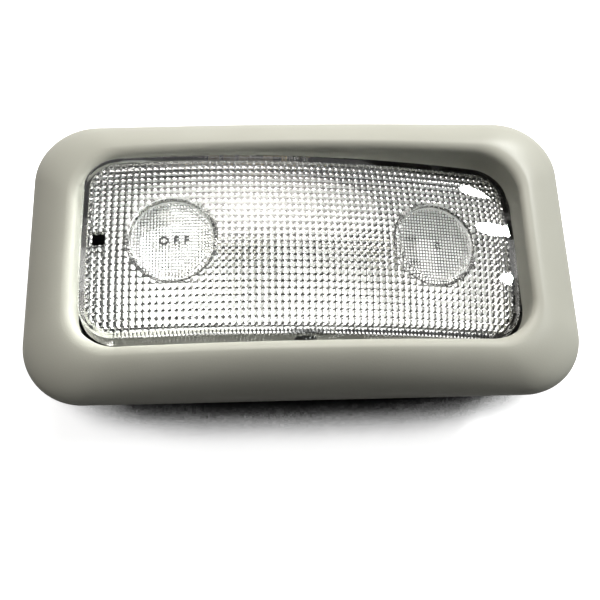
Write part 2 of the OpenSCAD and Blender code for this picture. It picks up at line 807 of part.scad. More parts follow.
nose_gap = 0.1;
nose_z = pivot_z - cam_r - nose_gap;
nose_tip = 0.05;
nose_half = 0.9;
nose_drop = 0.8;
arm_x = 2.2;
arm_drop = 0.9;
tail_x = 4;
tail_drop = 1.4;

module detent_spring() color("#b8bcc0") {
    run_z = boss_z + detent_t / 2;
    difference() {
        translate([0, detent_y, 0])
            bent_strip([[boss_x - boss_l / 2, run_z], [boss_x + boss_l / 2, run_z],
                [-arm_x, nose_z - arm_drop], [-nose_half, nose_z - nose_drop], [0, nose_z - nose_tip],
                [nose_half, nose_z - nose_drop], [tail_x, nose_z - tail_drop]], detent_t, detent_w);
        translate([boss_x, detent_y, boss_z]) cylinder(h = over, d = stake_d + fit_gap, center = true);
    }
}

clip_wall_x = tub_l / 2;
clip_lap = 0.6;
clip_lip = 1;
clip_lip_lift = 0.3;
clip_root = 0.8;
clip_bow_z = rim_z - 4;
clip_bow_h = 0.6;
clip_tip = 0.9;

module mounting_clip(s) {
    in_x = flange_l / 2 - clip_lap;
    bow_x = clip_wall_x + clip_reach;
    color("#9ea3a7") mirror([s > 0 ? 0 : 1, 0, 0])
        bent_strip([[in_x - clip_lip, clip_z + clip_lip_lift], [in_x, clip_z], [clip_wall_x + clip_root, clip_z],
            [bow_x, clip_bow_z], [bow_x, clip_bow_z + clip_bow_h],
            [clip_wall_x + clip_tip, rim_z - clip_tip]], clip_t, clip_w);
}

module mounting_clip_left() {
    mounting_clip(-1);
}

module mounting_clip_right() {
    mounting_clip(1);
}

bezel();
rear_housing();
lens_rocker();
reflector();
bulb_glass();
bulb_cap_left();
bulb_cap_right();
bulb_filament();
bulb_spring_left();
bulb_spring_right();
contact_carrier();
feed_terminal();
ground_terminal();
door_terminal();
link_strip();
switch_blade();
contact_rivets();
detent_spring();
mounting_clip_left();
mounting_clip_right();
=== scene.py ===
import math
import bmesh
import bpy
import numpy as np
from mathutils import Matrix, Vector
from mathutils.geometry import delaunay_2d_cdt


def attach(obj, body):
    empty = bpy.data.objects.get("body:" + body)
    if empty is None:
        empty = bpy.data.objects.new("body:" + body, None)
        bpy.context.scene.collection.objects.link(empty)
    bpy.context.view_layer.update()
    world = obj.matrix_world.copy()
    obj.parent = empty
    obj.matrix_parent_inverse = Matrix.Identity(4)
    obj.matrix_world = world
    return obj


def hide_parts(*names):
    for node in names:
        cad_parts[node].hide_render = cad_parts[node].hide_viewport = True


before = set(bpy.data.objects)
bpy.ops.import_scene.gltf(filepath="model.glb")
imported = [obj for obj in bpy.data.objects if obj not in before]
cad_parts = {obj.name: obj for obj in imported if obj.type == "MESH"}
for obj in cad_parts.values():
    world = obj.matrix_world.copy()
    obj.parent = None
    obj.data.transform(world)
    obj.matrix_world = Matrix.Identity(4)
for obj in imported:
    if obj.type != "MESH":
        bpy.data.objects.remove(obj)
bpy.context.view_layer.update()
scene = bpy.context.scene
MM = 0.001
SIDES = (-1, 1)

# Sizes of the part, in millimetres and degrees, as its source has them
RIM_Z, TUB_W = 21.0, 57.2
BEZEL_L, BEZEL_W, BEZEL_R = 136.0, 74.2, 15.2
BAND, CREST_H, END_DROP, OPENING_R = 12.3, 11.2, 5.8, 11.2
OPENING_L, OPENING_W = BEZEL_L - 2 * BAND, BEZEL_W - 2 * BAND
BEZEL_WALL, EDGE_LAND, ROLL_FULLNESS, SOLID_CREST_ROUND = 1.8, 0.8, 1.5, 1.2
COLLAR_DEPTH, COLLAR_WALL, NOTCH_ROOM = 3.0, 1.6, 0.7
STAY_T, STAY_LIFT, STAY_FOOT, STAY_STEP = 1.0, 1.0, 3.0, 8.1
STAY_X, STAY_END_Y = (14.0, 26.0, 38.0), 9.0
SNAP_X, SNAP_L, SNAP_TOP, SNAP_OUT, SNAP_LAND, SNAP_H, SNAP_TOE = 30.0, 8.0, 0.2, 1.4, 0.6, 2.2, 0.3
LENS_END_GAP, LENS_SIDE_GAP, CORNER_EASE = 1.9, 1.3, 1.5
LENS_L, LENS_W = OPENING_L - 2 * LENS_END_GAP, OPENING_W - 2 * LENS_SIDE_GAP
LENS_R = OPENING_R - LENS_SIDE_GAP - CORNER_EASE
LENS_WALL, LENS_TOP, LENS_H, CROWN_RX, CROWN_RY = 2.0, 13.8, 14.5, 260.0, 70.0
LENS_LOW = RIM_Z + LENS_TOP - LENS_H
DIMPLE_R, DIMPLE_X, DIMPLE_DEPTH, DIMPLE_WALL = 9.8, 32.4, 2.0, 1.2
SLOT_L, SLOT_W = 4.0, 3.6
SLOT_X0 = -LENS_L / 2 + LENS_WALL
ROCK_ANGLE, PIVOT_Z, PIVOT_R, PIN_END_GAP = 5.0, RIM_Z + 3.0, 2.0, 0.3
TAB_T, TAB_HALF, CAM_R, CAM_HALF = 2.2, 1.5, 9.0, 4.0

# Rounded and broken edges and fine relief, in millimetres
CREST_ROUND, EDGE_BREAK, COLLAR_BREAK, SNAP_BREAK = 2.4, 0.25, 0.3, 0.15
EDGE_ROUND, LIP_ROUND, FOOT_ROUND, SLOT_ROUND = 0.9, 0.3, 0.45, 0.25
PRISM_PITCH, PRISM_SAG = (1.54, 1.6), 0.46
FINE_PITCH, FINE_SAG, FINE_LIFT = (PRISM_PITCH[0] / 2, PRISM_PITCH[1] / 2), 0.22, 0.3
BOSS_R, BOSS_BEVEL = DIMPLE_R + DIMPLE_WALL, 0.9
RIB_DEPTH, CAM_NOTCH, TAB_BREAK, PIN_BREAK = 0.4, 0.35, 0.3, 0.3

# How far pieces of one moulding reach into each other, and how near vertices are joined, in millimetres
SNAP_SINK, TAB_SINK, PIN_SINK, WELD_REACH = 0.3, 0.02, 0.6, 0.002

# Points along a long side, a short side and a corner of an outline, and round a dimple
BEZEL_COUNTS, LENS_COUNTS, SLOT_COUNTS = (40, 16, 24), (196, 54, 44), (4, 4, 4)
DIMPLE_ANGLES = [2 * math.pi * i / 128 for i in range(128)]

# Angles in degrees above which an edge is left sharp
BEZEL_SHARP, SMALL_SHARP, LENS_SHARP = 40, 20, 28


# Materials

def new_material(name):
    mat = bpy.data.materials.new(name)
    mat.use_nodes = True
    tree = mat.node_tree
    return mat, tree, tree.nodes["Principled BSDF"]


def grain(tree, shader, scale, strength, distance, detail=3.0):
    """Fine relief in object coordinates, which are returned."""
    coord = tree.nodes.new("ShaderNodeTexCoord").outputs["Object"]
    noise = tree.nodes.new("ShaderNodeTexNoise")
    noise.inputs["Detail"].default_value = detail
    noise.inputs["Scale"].default_value = scale
    bump = tree.nodes.new("ShaderNodeBump")
    bump.inputs["Strength"].default_value = strength
    bump.inputs["Distance"].default_value = distance
    tree.links.new(coord, noise.inputs["Vector"])
    tree.links.new(noise.outputs["Fac"], bump.inputs["Height"])
    tree.links.new(bump.outputs["Normal"], shader.inputs["Normal"])
    return coord


def mottle(tree, shader, coord, low, high, scale):
    """A slow change of the base colour over the surface."""
    noise = tree.nodes.new("ShaderNodeTexNoise")
    noise.inputs["Scale"].default_value = scale
    noise.inputs["Detail"].default_value = 2.0
    ramp = tree.nodes.new("ShaderNodeValToRGB")
    for element, position, colour in zip(ramp.color_ramp.elements, (0.3, 0.7), (low, high)):
        element.position = position
        element.color = (*colour, 1)
    tree.links.new(coord, noise.inputs["Vector"])
    tree.links.new(noise.outputs["Fac"], ramp.inputs["Fac"])
    tree.links.new(ramp.outputs["Color"], shader.inputs["Base Color"])


def plastic(name, low, high, rough):
    mat, tree, shader = new_material(name)
    coord = grain(tree, shader, scale=2600.0, strength=0.35, distance=0.00006)
    mottle(tree, shader, coord, low, high, scale=60.0)
    shader.inputs["Roughness"].default_value = rough
    return mat


def metal(name, low, high, rough, scale=900.0, strength=0.15):
    mat, tree, shader = new_material(name)
    coord = grain(tree, shader, scale, strength, distance=0.00003)
    mottle(tree, shader, coord, low, high, scale=140.0)
    shader.inputs["Metallic"].default_value = 1.0
    shader.inputs["Roughness"].default_value = rough
    return mat


def clear(name, colour):
    mat, tree, shader = new_material(name)
    grain(tree, shader, scale=500.0, strength=0.02, distance=0.00002, detail=1.0)
    shader.inputs["Base Color"].default_value = (*colour, 1)
    shader.inputs["Transmission Weight"].default_value = 1.0
    shader.inputs["Roughness"].default_value = 0.0
    shader.inputs["IOR"].default_value = 1.49
    return mat


bezel_mat = plastic("bezel_plastic", (0.455, 0.457, 0.40), (0.48, 0.483, 0.425), 0.36)
bezel_mat.node_tree.nodes["Principled BSDF"].inputs["Specular IOR Level"].default_value = 0.3
housing_mat = plastic("housing_plastic", (0.030, 0.030, 0.031), (0.045, 0.045, 0.046), 0.5)
carrier_mat = plastic("carrier_plastic", (0.018, 0.018, 0.019), (0.03, 0.03, 0.031), 0.45)
print_mat = plastic("letter_ink", (0.03, 0.03, 0.032), (0.05, 0.05, 0.052), 0.4)
lens_mat = clear("lens_clear", (0.97, 0.985, 0.98))
bulb_mat = clear("bulb_glass", (0.98, 0.985, 0.98))
reflector_mat = metal("reflector_metal", (0.88, 0.885, 0.89), (0.93, 0.935, 0.94), 0.5, 400.0, 0.2)
cap_mat = metal("cap_metal", (0.62, 0.61, 0.57), (0.72, 0.71, 0.67), 0.25)
filament_mat = metal("filament_metal", (0.25, 0.25, 0.24), (0.36, 0.35, 0.34), 0.5)
brass_mat = metal("brass", (0.68, 0.52, 0.25), (0.78, 0.62, 0.32), 0.32)
bronze_mat = metal("plated_spring", (0.66, 0.65, 0.62), (0.76, 0.75, 0.72), 0.28)
steel_mat = metal("spring_steel", (0.10, 0.102, 0.105), (0.15, 0.152, 0.155), 0.5)

NODES_OF_MATERIALS = (
    (bezel_mat, ("bezel",)),
    (housing_mat, ("rear_housing",)),
    (carrier_mat, ("contact_carrier",)),
    (lens_mat, ("lens_rocker",)),
    (bulb_mat, ("bulb_glass",)),
    (reflector_mat, ("reflector",)),
    (cap_mat, ("bulb_cap_left", "bulb_cap_right")),
    (filament_mat, ("bulb_filament",)),
    (brass_mat, ("feed_terminal", "ground_terminal", "door_terminal", "link_strip", "contact_rivets")),
    (bronze_mat, ("bulb_spring_left", "bulb_spring_right", "switch_blade")),
    (steel_mat, ("detent_spring", "mounting_clip_left", "mounting_clip_right")),
)
for mat, names in NODES_OF_MATERIALS:
    for name in names:
        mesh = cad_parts[name].data
        mesh.materials.clear()
        mesh.materials.append(mat)


# Mesh helpers

def weld(mesh):
    """Joins vertices that lie together and turns all faces outward."""
    bm = bmesh.new()
    bm.from_mesh(mesh)
    bmesh.ops.remove_doubles(bm, verts=bm.verts, dist=WELD_REACH * MM)
    bmesh.ops.dissolve_degenerate(bm, edges=bm.edges, dist=WELD_REACH * MM)
    bmesh.ops.recalc_face_normals(bm, faces=bm.faces)
    bm.to_mesh(mesh)
    bm.free()
    mesh.validate()


def shade(mesh, sharp_angle):
    """Smooths a mesh, but for edges sharper than an angle in degrees."""
    mesh.shade_smooth()
    mesh.set_sharp_from_angle(angle=math.radians(sharp_angle))


def make_object(name, solid, mat, sharp_angle):
    """An object from a solid in millimetres."""
    mesh = bpy.data.meshes.new(name)
    verts = [tuple(float(c) * MM for c in v) for v in solid.verts]
    mesh.from_pydata(verts, [], solid.faces)
    weld(mesh)
    mesh.materials.append(mat)
    shade(mesh, sharp_angle)
    obj = bpy.data.objects.new(name, mesh)
    scene.collection.objects.link(obj)
    return obj


def ride(obj, body):
    """Gives an object its body."""
    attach(obj, body)


def loop_points(l, w, r, counts):
    """Rounded rectangle, counterclockwise from the lower end of its right side."""
    n_long, n_short, n_corner = counts
    x, y = l / 2 - r, w / 2 - r
    sides = [((l / 2, -y), (l / 2, y), n_short, (x, y)),
             ((x, w / 2), (-x, w / 2), n_long, (-x, y)),
             ((-l / 2, y), (-l / 2, -y), n_short, (-x, -y)),
             ((-x, -w / 2), (x, -w / 2), n_long, (x, -y))]
    out = []
    for quarter, (a, b, n, c) in enumerate(sides):
        out += [(a[0] + (b[0] - a[0]) * i / n, a[1] + (b[1] - a[1]) * i / n) for i in range(n)]
        turns = [math.radians(90 * quarter + 90 * i / n_corner) for i in range(n_corner)]
        out += [(c[0] + r * math.cos(t), c[1] + r * math.sin(t)) for t in turns]
    return out


def circle(r, angles):
    return [(r * math.cos(t), r * math.sin(t)) for t in angles]


def in_plan(x, y, l, w, r):
    """Whether a point lies in a rounded rectangle."""
    dx, dy = max(abs(x) - (l / 2 - r), 0), max(abs(y) - (w / 2 - r), 0)
    return math.hypot(dx, dy) <= r


def inside_loop(points, loop):
    """Which of the points lie inside a closed loop."""
    x, y = points.T
    inside = np.zeros(len(points), bool)
    for (px, py), (qx, qy) in zip(loop, loop[1:] + loop[:1]):
        if py != qy:
            inside ^= ((py > y) != (qy > y)) & (x < (qx - px) * (y - py) / (qy - py) + px)
    return inside


def shares(points):
    """The share of a closed loop's length at which each of its points lies."""
    p = np.array(points)
    step = np.linalg.norm(np.roll(p, -1, 0) - p, axis=1)
    return (np.concatenate([[0], np.cumsum(step)[:-1]]) / step.sum()).tolist()


class Solid:
    """Collects the vertices and faces of a solid. A rim is a pair: a closed loop's vertices and its points in
    plan."""

    def __init__(self):
        self.verts = []
        self.faces = []

    def add(self, points):
        start = len(self.verts)
        self.verts.extend(points)
        return list(range(start, start + len(points)))

    def strip(self, a, b):
        """Joins two loops of as many vertices."""
        for i in range(len(a)):
            j = (i + 1) % len(a)
            self.faces.append((a[i], a[j], b[j], b[i]))

    def loft(self, *sections):
        """A closed body through sections of as many points."""
        loops = [self.add(points) for points in sections]
        for a, b in zip(loops, loops[1:]):
            self.strip(a, b)
        self.faces += [tuple(loops[0]), tuple(loops[-1])]

    def zip_rims(self, rim_a, rim_b):
        """Joins two rims of different counts, vertex by vertex along their length."""
        (a, points_a), (b, points_b) = rim_a, rim_b
        share_a, share_b = shares(points_a) + [1.0], shares(points_b) + [1.0]
        i = j = 0
        while i < len(a) or j < len(b):
            next_i, next_j = (i + 1) % len(a), (j + 1) % len(b)
            if j >= len(b) or (i < len(a) and share_a[i + 1] <= share_b[j + 1]):
                self.faces.append((a[i % len(a)], b[j % len(b)], a[next_i]))
                i += 1
            else:
                self.faces.append((a[i % len(a)], b[j % len(b)], b[next_j]))
                j += 1

    def fill(self, loops, points, lines, keep, place):
        """Triangulates a plan through points and lines, inside its first loop, outside the others and where
        keep agrees. place puts a point of the plan in space. Returns the loops' rims."""
        spots = [Vector(p) for loop in loops for p in loop] + [Vector(p) for p in points]
        edges, owners = [], []
        for k, loop in enumerate(loops):
            start, n = len(edges), len(loop)
            edges += [(start + i, start + (i + 1) % n) for i in range(n)]
            owners += [k] * n
        index = {p: len(edges) + i for i, p in enumerate(points)}
        edges += [(index[a], index[b]) for a, b in lines]
        v, cut_edges, triangles, _, sources, _ = delaunay_2d_cdt(spots, edges, [], 0, 1e-5, True)
        ids = self.add([place(p[0], p[1]) for p in v])
        centres = np.array([[sum(v[i][axis] for i in t) / len(t) for axis in (0, 1)] for t in triangles])
        inside = inside_loop(centres, loops[0])
        for hole in loops[1:]:
            inside &= ~inside_loop(centres, hole)
        for t, centre, is_inside in zip(triangles, centres, inside):
            if is_inside and keep(*centre):
                self.faces.append(tuple(ids[i] for i in t))
        rims = []
        for k, loop in enumerate(loops):
            near = {}
            for edge, source in zip(cut_edges, sources):
                if any(i < len(owners) and owners[i] == k for i in source):
                    near.setdefault(edge[0], []).append(edge[1])
                    near.setdefault(edge[1], []).append(edge[0])
            first = min(near, key=lambda i: (v[i] - Vector(loop[0])).length)
            second = min(near[first], key=lambda i: (v[i] - Vector(loop[1])).length)
            walk = [first, second]
            while True:
                onward = [i for i in near[walk[-1]] if i != walk[-2]]
                if not onward or onward[0] == first:
                    break
                walk.append(onward[0])
            rims.append(([ids[i] for i in walk], [(v[i][0], v[i][1]) for i in walk]))
        return rims


# Bezel

def bezel_z(x, risen, level):
    """Height at x of a point of the bezel's section: risen follows the arch of its face, level doesn't."""
    arch = 1 - END_DROP / CREST_H * (x / (BEZEL_L / 2)) ** 2
    return RIM_Z + risen * arch + level


def face_r(inset):
    """Corner radius of the face, an inset from its outer edge."""
    return BEZEL_R + (OPENING_R - BEZEL_R) * inset / BAND


def roll(a):
    """Inset and rise of the rolled face, from its land at an angle of 0 to its crest at a quarter turn."""
    c, s = max(math.cos(a), 0.0), max(math.sin(a), 0.0)
    power = 2 / ROLL_FULLNESS
    return (BAND - CREST_ROUND) * (1 - c ** power), EDGE_LAND + (CREST_H - EDGE_LAND) * s ** power


def under_roll(a, depth):
    """Inset, rise and level of a point that lies a depth under the rolled face."""
    nearby = 0.01
    along = np.array(roll(a + nearby)) - np.array(roll(a - nearby))
    normal = np.array([along[1], -along[0]]) / np.hypot(*along) * depth
    inset, risen = roll(a)
    return inset + normal[0], risen, normal[1]


def bezel_ring(inset, risen, level, r=None):
    """One point of the section, all round the bezel."""
    if r is None:
        r = face_r(inset)
    outline = loop_points(BEZEL_L - 2 * inset, BEZEL_W - 2 * inset, r, BEZEL_COUNTS)
    return [(x, y, bezel_z(x, risen, level)) for x, y in outline]


def bezel_rings():
    """The bezel's section as rings: over the face, round the collar and back under the face."""
    roll_steps, crest_steps, back_steps = 36, 8, 16
    back, back_r = BAND - COLLAR_WALL, OPENING_R + COLLAR_WALL
    rings = [bezel_ring(EDGE_BREAK, 0, 0, BEZEL_R), bezel_ring(0.0, 0, EDGE_BREAK)]
    rings += [bezel_ring(*roll(math.pi / 2 * i / roll_steps), 0) for i in range(roll_steps + 1)]
    for i in range(1, crest_steps + 1):
        a = math.pi / 2 * i / crest_steps
        inset = BAND - CREST_ROUND + CREST_ROUND * math.sin(a)
        rings.append(bezel_ring(inset, CREST_H - CREST_ROUND * (1 - math.cos(a)), 0))
    rings += [bezel_ring(BAND, 0, -COLLAR_DEPTH + COLLAR_BREAK, OPENING_R),
              bezel_ring(BAND - COLLAR_BREAK, 0, -COLLAR_DEPTH, OPENING_R + COLLAR_BREAK),
              bezel_ring(back, 0, -COLLAR_DEPTH, back_r),
              bezel_ring(back, CREST_H, -BEZEL_WALL - SOLID_CREST_ROUND / 2, back_r)]
    under = [under_roll(math.pi / 2 * i / back_steps, BEZEL_WALL) for i in range(back_steps - 1, 5, -1)]
    rings += [bezel_ring(*point) for point in under]
    rings.append(bezel_ring(BEZEL_WALL, 0, 0))
    return rings


def cut_pin_notches(obj):
    """Cuts the notches, open below, with which the collar goes over the pivot pins."""
    half, over, under = PIVOT_R + NOTCH_ROOM, 0.6, 1
    low = RIM_Z - COLLAR_DEPTH - under
    path = [(-half, low), (half, low)]
    path += [(half * math.cos(t), PIVOT_Z + half * math.sin(t)) for t in np.linspace(0, math.pi, 25)]
    solid = Solid()
    for s in SIDES:
        ends = OPENING_W / 2 - over, OPENING_W / 2 + COLLAR_WALL + over
        solid.loft(*[[(x, s * y, z) for x, z in path] for y in ends])
    cutter = make_object("pin_slot_cutter", solid, bezel_mat, BEZEL_SHARP)
    cut = obj.modifiers.new("slots", "BOOLEAN")
    cut.operation = "DIFFERENCE"
    cut.solver = "EXACT"
    cut.object = cutter
    graph = bpy.context.evaluated_depsgraph_get()
    mesh = bpy.data.meshes.new_from_object(obj.evaluated_get(graph))
    obj.modifiers.clear()
    obj.data = mesh
    bpy.data.objects.remove(cutter)
    weld(mesh)
    shade(mesh, BEZEL_SHARP)


def make_bezel():
    solid = Solid()
    loops = [solid.add(ring) for ring in bezel_rings()]
    for a, b in zip(loops, loops[1:] + loops[:1]):
        solid.strip(a, b)
    obj = make_object("bezel_shell", solid, bezel_mat, BEZEL_SHARP)
    ride(obj, "housing")
    cut_pin_notches(obj)
    return obj


def make_snaps():
    """Noses on the collar that latch in the housing's windows."""
    low = SNAP_TOP - SNAP_H
    profile = [(-SNAP_SINK, SNAP_TOP), (SNAP_OUT - SNAP_BREAK, SNAP_TOP), (SNAP_OUT, SNAP_TOP - SNAP_BREAK),
               (SNAP_OUT, SNAP_TOP - SNAP_LAND), (SNAP_TOE, low), (-SNAP_SINK, low)]
    wall_y = OPENING_W / 2 + COLLAR_WALL
    solid = Solid()
    for sx in SIDES:
        for sy in SIDES:
            solid.loft(*[[(sx * SNAP_X + x, sy * (wall_y + out), RIM_Z + z) for out, z in profile]
                         for x in (-SNAP_L / 2, SNAP_L / 2)])
    ride(make_object("bezel_snaps", solid, bezel_mat, SMALL_SHARP), "housing")


def make_stays():
    """Ribs under the face, from its skin to the collar."""
    middle = BAND - COLLAR_WALL / 2
    profile = [(BEZEL_WALL, 0, STAY_LIFT)]
    profile += [under_roll(math.pi / 2 * i / 8, BEZEL_WALL / 2) for i in range(3, 8)]
    profile += [(middle, CREST_H, -BEZEL_WALL), (middle, 0, STAY_FOOT), (STAY_STEP, 0, STAY_FOOT)]
    profile.append((STAY_STEP, 0, STAY_LIFT))
    faces = (-STAY_T / 2, STAY_T / 2)
    solid = Solid()
    for s in SIDES:
        for x in STAY_X + tuple(-x for x in STAY_X):
            solid.loft(*[[(x + t, s * (BEZEL_W / 2 - inset), bezel_z(x, risen, level))
                          for inset, risen, level in profile] for t in faces])
        for y in (-STAY_END_Y, STAY_END_Y):
            solid.loft(*[[(s * (BEZEL_L / 2 - inset), y + t, bezel_z(BEZEL_L / 2 - inset, risen, level))
                          for inset, risen, level in profile] for t in faces])
    ride(make_object("bezel_stays", solid, bezel_mat, SMALL_SHARP), "housing")


bezel = make_bezel()
make_snaps()
make_stays()
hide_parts("bezel")


# Lens

CROWN_Z = RIM_Z + LENS_TOP - CROWN_RX
DIMPLE_SLOPE = math.asin(DIMPLE_X / CROWN_RX)
DIMPLE_Z = CROWN_Z + math.sqrt(CROWN_RX ** 2 - DIMPLE_X ** 2)


def crown(x, y, depth=0.0):
    """Height of the surface that lies a depth under the lens's crown."""
    rho = (CROWN_RX - CROWN_RY) + math.sqrt((CROWN_RY - depth) ** 2 - y * y)
    return CROWN_Z + math.sqrt(rho * rho - x * x)


def from_dimple(s, x, y, z):
    """A point from a dimple's own frame."""
    a = s * DIMPLE_SLOPE
    return (s * DIMPLE_X + x * math.cos(a) + z * math.sin(a), y, DIMPLE_Z - x * math.sin(a) + z * math.cos(a))


def dimple_circle(s, r, z):
    return [from_dimple(s, x, y, z) for x, y in circle(r, DIMPLE_ANGLES)]


def crown_circle(s, r, depth=0.0):
    """Where a cylinder round a dimple's axis meets the crown, or the surface a depth under it."""
    out = []
    for x, y in circle(r, DIMPLE_ANGLES):
        z = -depth
        for _ in range(12):
            p = from_dimple(s, x, y, z)
            z += crown(p[0], p[1], depth) - p[2]
        out.append(from_dimple(s, x, y, z))
    return out


def rock(p):
    """Turns a point of the level lens to its place at rest, with the right side pressed in."""
    a = math.radians(ROCK_ANGLE)
    x, y, z = p[0], p[1], p[2] - PIVOT_Z
    return (x * math.cos(a) + z * math.sin(a), y, PIVOT_Z - x * math.sin(a) + z * math.cos(a))


def lens_loop(inset):
    return loop_points(LENS_L - 2 * inset, LENS_W - 2 * inset, LENS_R - inset, LENS_COUNTS)


def plan(points):
    return [p[:2] for p in points]


def slot_loop():
    return [(x + SLOT_X0 + SLOT_L / 2, y) for x, y in loop_points(SLOT_L, SLOT_W, SLOT_ROUND, SLOT_COUNTS)]


def top_grid():
    """Points that carry the crown between the lens's edge, its dimples and its release notch."""
    step, edge_gap, slot_gap = 1.5, 0.7, 0.5
    inset = EDGE_ROUND + edge_gap
    nx, ny = int(LENS_L / 2 / step) + 1, int(LENS_W / 2 / step) + 1
    out = []
    for i in range(-nx, nx + 1):
        for j in range(-ny, ny + 1):
            x, y = i * step, j * step
            in_edge = in_plan(x, y, LENS_L - 2 * inset, LENS_W - 2 * inset, LENS_R - inset)
            in_dimple = any(math.hypot(x - s * DIMPLE_X, y) < DIMPLE_R + LIP_ROUND + edge_gap for s in SIDES)
            in_slot = abs(x - SLOT_X0 - SLOT_L / 2) < SLOT_L / 2 + slot_gap and abs(y) < SLOT_W / 2 + slot_gap
            if in_edge and not in_dimple and not in_slot:
                out.append((x, y))
    return out


def add_outer_skin(solid):
    """The crowned top, its rounded edge and the skirt. Returns the top's rims and the skirt's lower one."""
    steps = 6
    top = lens_loop(EDGE_ROUND)
    holes = [plan(crown_circle(s, DIMPLE_R + LIP_ROUND)) for s in SIDES]
    rims = solid.fill([top, *holes, slot_loop()], top_grid(), [], lambda x, y: True,
                      lambda x, y: (x, y, crown(x, y)))
    heights = [crown(x, y) for x, y in top]
    last = None
    for k in range(1, steps + 1):
        t = math.pi / 2 * k / steps
        drop = EDGE_ROUND * (1 - math.cos(t))
        outline = lens_loop(EDGE_ROUND * (1 - math.sin(t)))
        ids = solid.add([(x, y, h - drop) for (x, y), h in zip(outline, heights)])
        if last:
            solid.strip(last, ids)
        else:
            solid.zip_rims(rims[0], (ids, top))
        last = ids
    low = solid.add([(x, y, LENS_LOW) for x, y in lens_loop(0)])
    solid.strip(last, low)
    return rims, (low, lens_loop(0))


def add_dimple(solid, s, rim):
    """A finger dimple in the outer skin: its rounded lip, wall, foot and floor."""
    lip_steps, foot_steps = 3, 4
    slope_x, slope_z = math.sin(s * DIMPLE_SLOPE), math.cos(s * DIMPLE_SLOPE)
    last = None
    for q in range(1, lip_steps + 1):
        t = math.pi / 2 * q / lip_steps
        drop = LIP_ROUND * (1 - math.cos(t))
        lip = crown_circle(s, DIMPLE_R + LIP_ROUND * (1 - math.sin(t)))
        ring = [(x - slope_x * drop, y, z - slope_z * drop) for x, y, z in lip]
        ids = solid.add(ring)
        if last:
            solid.strip(last, ids)
        else:
            solid.zip_rims(rim, (ids, plan(ring)))
        last = ids
    rings = []
    for q in range(foot_steps + 1):
        t = math.pi / 2 * q / foot_steps
        r = DIMPLE_R - FOOT_ROUND * (1 - math.cos(t))
        rings.append((r, -DIMPLE_DEPTH + FOOT_ROUND * (1 - math.sin(t))))
    rings += [(r, -DIMPLE_DEPTH) for r in (7.5, 5.0, 2.5)]
    for r, z in rings:
        ids = solid.add(dimple_circle(s, r, z))
        solid.strip(last, ids)
        last = ids
    solid.faces.append(tuple(last))


def pillow(x, y, pitch, sag):
    """Relief of square pillow prisms, highest in the middle of each."""
    u = ((x / pitch[0]) % 1.0) * 2 - 1
    v = ((y / pitch[1]) % 1.0) * 2 - 1
    return sag * (2 - u * u - v * v)


def add_prisms(solid, loops, inside, reach, pitch, cuts, place):
    """Pillow prisms over a plan, with cuts facets to a side. Whole cells are gridded, and cut ones are
    triangulated up to the loops. inside says whether a point lies in the plan by a margin. Returns rims."""
    px, py = pitch
    margin, near = 0.12, 1.2 * max(px, py)
    cells = [(i, j) for i in range(-int(reach[0] / px) - 2, int(reach[0] / px) + 2)
             for j in range(-int(reach[1] / py) - 2, int(reach[1] / py) + 2)]
    whole, vertices = set(), {}
    for i, j in cells:
        if all(inside((i + u) * px, (j + v) * py, margin) for u in (0, 0.5, 1) for v in (0, 0.5, 1)):
            whole.add((i, j))

    def vertex(gx, gy):
        if (gx, gy) not in vertices:
            vertices[gx, gy] = solid.add([place(gx * px / cuts, gy * py / cuts)])[0]
        return vertices[gx, gy]

    def spot(gx, gy):
        return (round(gx * px / cuts, 5), round(gy * py / cuts, 5))

    for i, j in sorted(whole):
        for gx in range(i * cuts, (i + 1) * cuts):
            for gy in range(j * cuts, (j + 1) * cuts):
                corners = ((gx, gy), (gx + 1, gy), (gx + 1, gy + 1), (gx, gy + 1))
                solid.faces.append(tuple(vertex(*corner) for corner in corners))
    points, lines = set(), []
    for i, j in cells:
        if (i, j) in whole or not inside((i + 0.5) * px, (j + 0.5) * py, -near):
            continue
        x0, y0 = i * cuts, j * cuts
        points.update(spot(x0 + u, y0 + v) for u in range(cuts + 1) for v in range(cuts + 1))
        for u in range(cuts):
            for side in (0, cuts):
                lines.append((spot(x0 + u, y0 + side), spot(x0 + u + 1, y0 + side)))
                lines.append((spot(x0 + side, y0 + u), spot(x0 + side, y0 + u + 1)))

    def in_cut_cell(x, y):
        return (math.floor(x / px), math.floor(y / py)) not in whole

    return solid.fill(loops, sorted(points), list(dict.fromkeys(lines)), in_cut_cell, place)


